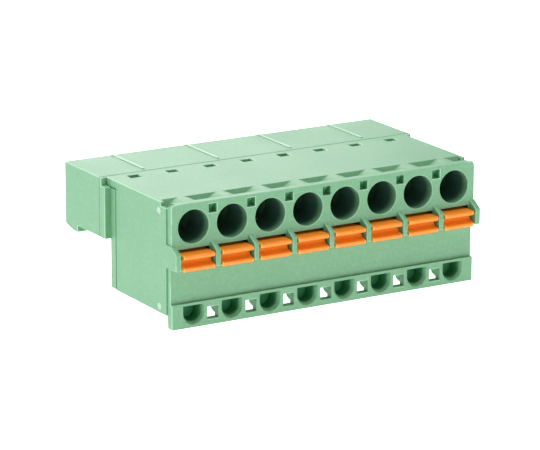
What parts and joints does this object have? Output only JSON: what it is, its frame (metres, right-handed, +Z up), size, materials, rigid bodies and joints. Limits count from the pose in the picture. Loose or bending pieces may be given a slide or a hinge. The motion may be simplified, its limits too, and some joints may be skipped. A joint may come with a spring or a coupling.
{
  "type": "pluggable terminal block",
  "caption": "Green pluggable terminal block with round push-in wire entries, orange sprung levers, test ports below, and a shrouded pin socket behind.",
  "frame": {"origin": "under the middle of the overall box, at the height of the front plate's lower edge", "axes": "+X along the row of poles, +Y from the wire entries towards the socket, +Z up through the roof"},
  "size_m": [0.0432, 0.0258, 0.0148],
  "materials": {
    "housing": "fine satin moulded polyamide",
    "lever": "satin moulded plastic",
    "spring": "rolled spring steel",
    "contact": "matt tin plate on copper alloy"
  },
  "bodies": {
    "block": {"front_housing": "housing", "rear_housing": "housing", "spring_1": "spring", "spring_2": "spring", "spring_3": "spring", "spring_4": "spring", "spring_5": "spring", "spring_6": "spring", "spring_7": "spring", "spring_8": "spring", "contact_1": "contact", "contact_2": "contact", "contact_3": "contact", "contact_4": "contact", "contact_5": "contact", "contact_6": "contact", "contact_7": "contact", "contact_8": "contact"},
    "lever_1": {"lever_1": "lever"},
    "lever_2": {"lever_2": "lever"},
    "lever_3": {"lever_3": "lever"},
    "lever_4": {"lever_4": "lever"},
    "lever_5": {"lever_5": "lever"},
    "lever_6": {"lever_6": "lever"},
    "lever_7": {"lever_7": "lever"},
    "lever_8": {"lever_8": "lever"}
  },
  "joints": [
    {"name": "lever_1_push", "type": "slide", "parent": "block", "child": "lever_1", "axis": [0, 1, 0], "range_m": [0, 0.0013], "stiffness_N_per_m": 800, "deforming": ["spring_1"]},
    {"name": "lever_2_push", "type": "slide", "parent": "block", "child": "lever_2", "axis": [0, 1, 0], "range_m": [0, 0.0013], "stiffness_N_per_m": 800, "deforming": ["spring_2"]},
    {"name": "lever_3_push", "type": "slide", "parent": "block", "child": "lever_3", "axis": [0, 1, 0], "range_m": [0, 0.0013], "stiffness_N_per_m": 800, "deforming": ["spring_3"]},
    {"name": "lever_4_push", "type": "slide", "parent": "block", "child": "lever_4", "axis": [0, 1, 0], "range_m": [0, 0.0013], "stiffness_N_per_m": 800, "deforming": ["spring_4"]},
    {"name": "lever_5_push", "type": "slide", "parent": "block", "child": "lever_5", "axis": [0, 1, 0], "range_m": [0, 0.0013], "stiffness_N_per_m": 800, "deforming": ["spring_5"]},
    {"name": "lever_6_push", "type": "slide", "parent": "block", "child": "lever_6", "axis": [0, 1, 0], "range_m": [0, 0.0013], "stiffness_N_per_m": 800, "deforming": ["spring_6"]},
    {"name": "lever_7_push", "type": "slide", "parent": "block", "child": "lever_7", "axis": [0, 1, 0], "range_m": [0, 0.0013], "stiffness_N_per_m": 800, "deforming": ["spring_7"]},
    {"name": "lever_8_push", "type": "slide", "parent": "block", "child": "lever_8", "axis": [0, 1, 0], "range_m": [0, 0.0013], "stiffness_N_per_m": 800, "deforming": ["spring_8"]}
  ]
}
